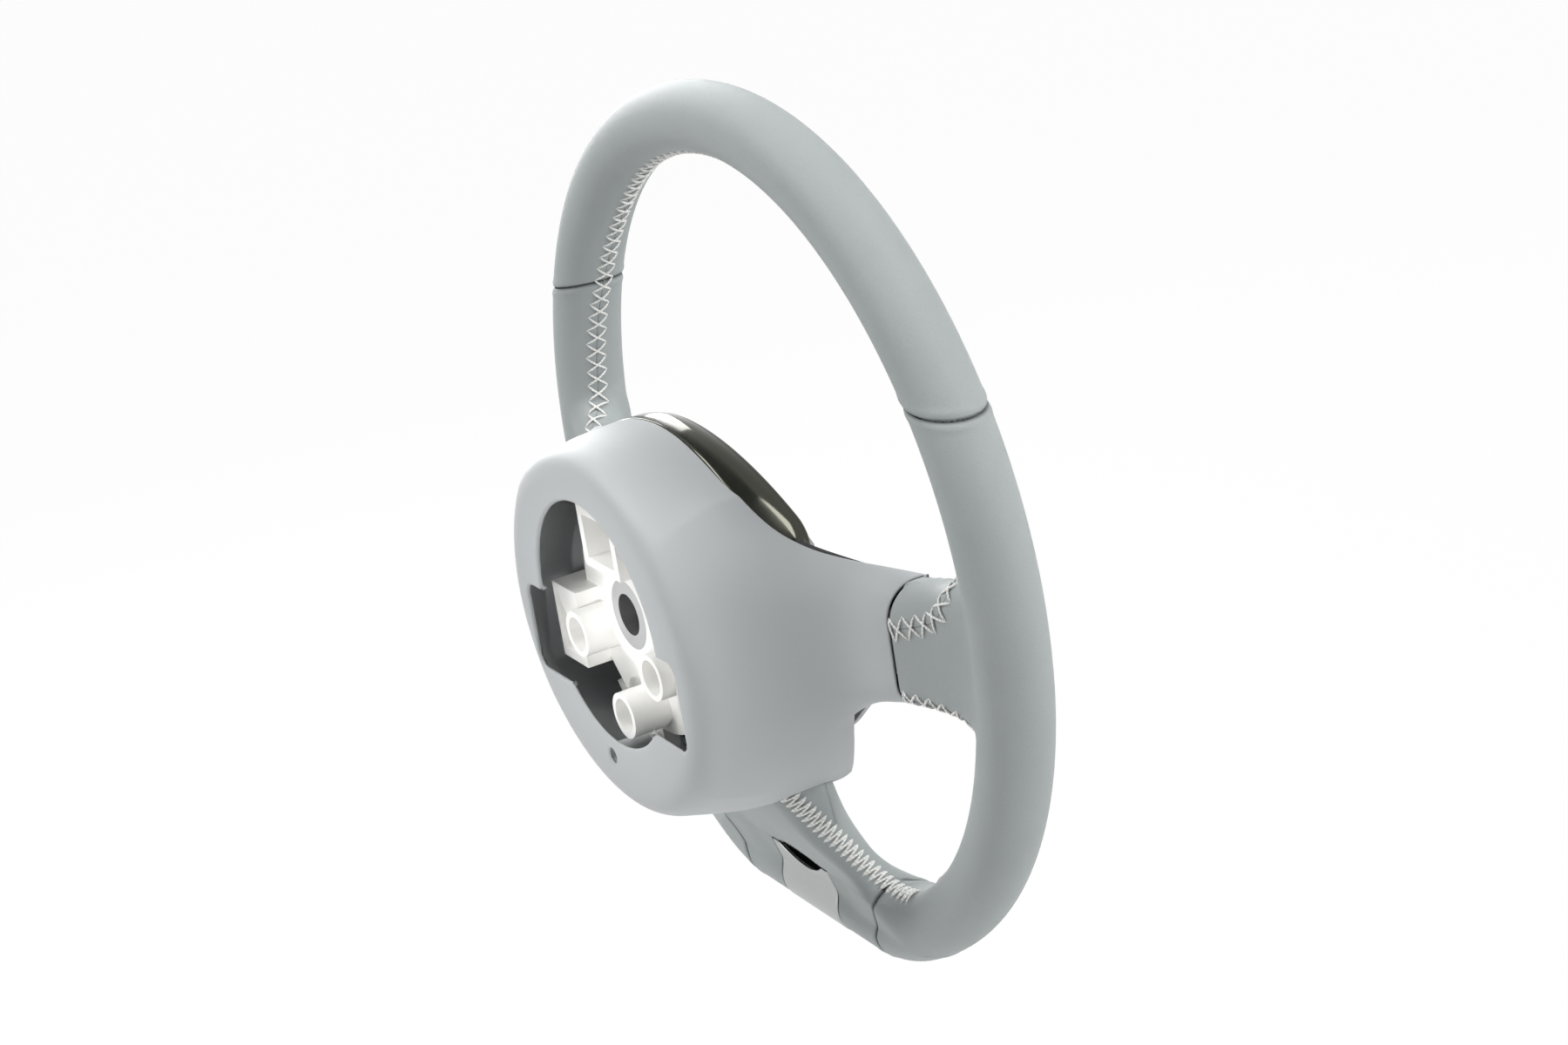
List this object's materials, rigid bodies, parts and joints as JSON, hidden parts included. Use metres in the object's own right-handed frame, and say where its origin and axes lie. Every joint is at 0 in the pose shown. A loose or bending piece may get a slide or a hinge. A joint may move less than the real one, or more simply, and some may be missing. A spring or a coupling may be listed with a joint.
{
  "type": "car steering wheel",
  "caption": "Flat-bottomed, leather covered car steering wheel with side spokes, a lower spoke, a moulded back cover, a cast armature and a sprung horn pad.",
  "frame": {"origin": "centre of the column bore at its rear mouth, on the column axis", "axes": "+Y down the column, away from the driver; +Z to twelve o'clock; +X to the driver's right"},
  "size_m": [0.38, 0.1065, 0.3695],
  "materials": {
    "cast_metal": "bright as-cast",
    "steel": "plain zinc plated",
    "dark_steel": "black oxide",
    "foam": "moulded foam skin",
    "grip_leather": "fine grain, matte",
    "satin_trim": "satin silver",
    "soft_plastic": "soft touch, matte",
    "dark_chrome": "dark chrome",
    "dark_plastic": "matte black",
    "key_plastic": "soft touch, matte",
    "pad_skin": "grained, matte"
  },
  "bodies": {
    "wheel": {"armature": "cast_metal", "hub_insert": "steel", "rim_foam": "foam", "upper_leather": "grip_leather", "left_leather": "grip_leather", "right_leather": "grip_leather", "lower_leather": "grip_leather", "bottom_clasp": "satin_trim", "rear_cover": "soft_plastic", "cover_screw": "dark_steel", "front_bezel": "dark_chrome", "front_apron": "soft_plastic", "left_switch_panel": "dark_plastic", "right_switch_panel": "dark_plastic", "lower_trim": "satin_trim", "horn_springs": "steel"},
    "horn_module": {"driver_pad": "pad_skin", "airbag_tray": "steel", "gas_inflator": "steel", "guide_pins": "steel", "pin_clips": "dark_steel"},
    "left_upper_key_body": {"left_upper_key": "key_plastic"},
    "left_lower_key_body": {"left_lower_key": "key_plastic"},
    "right_upper_key_body": {"right_upper_key": "key_plastic"},
    "right_lower_key_body": {"right_lower_key": "key_plastic"}
  },
  "joints": [
    {"name": "horn_press", "type": "slide", "parent": "wheel", "child": "horn_module", "axis": [0, 1, 0], "range_m": [0, 0.002], "stiffness_N_per_m": 9000, "springref_m": -0.002, "deforming": ["horn_springs"]},
    {"name": "left_upper_key_press", "type": "slide", "parent": "wheel", "child": "left_upper_key_body", "axis": [-0.515, 0.8572, 0], "range_m": [0, 0.001], "stiffness_N_per_m": 800, "springref_m": -0.001},
    {"name": "left_lower_key_press", "type": "slide", "parent": "wheel", "child": "left_lower_key_body", "axis": [-0.515, 0.8572, 0], "range_m": [0, 0.001], "stiffness_N_per_m": 800, "springref_m": -0.001},
    {"name": "right_upper_key_press", "type": "slide", "parent": "wheel", "child": "right_upper_key_body", "axis": [0.515, 0.8572, 0], "range_m": [0, 0.001], "stiffness_N_per_m": 800, "springref_m": -0.001},
    {"name": "right_lower_key_press", "type": "slide", "parent": "wheel", "child": "right_lower_key_body", "axis": [0.515, 0.8572, 0], "range_m": [0, 0.001], "stiffness_N_per_m": 800, "springref_m": -0.001}
  ]
}
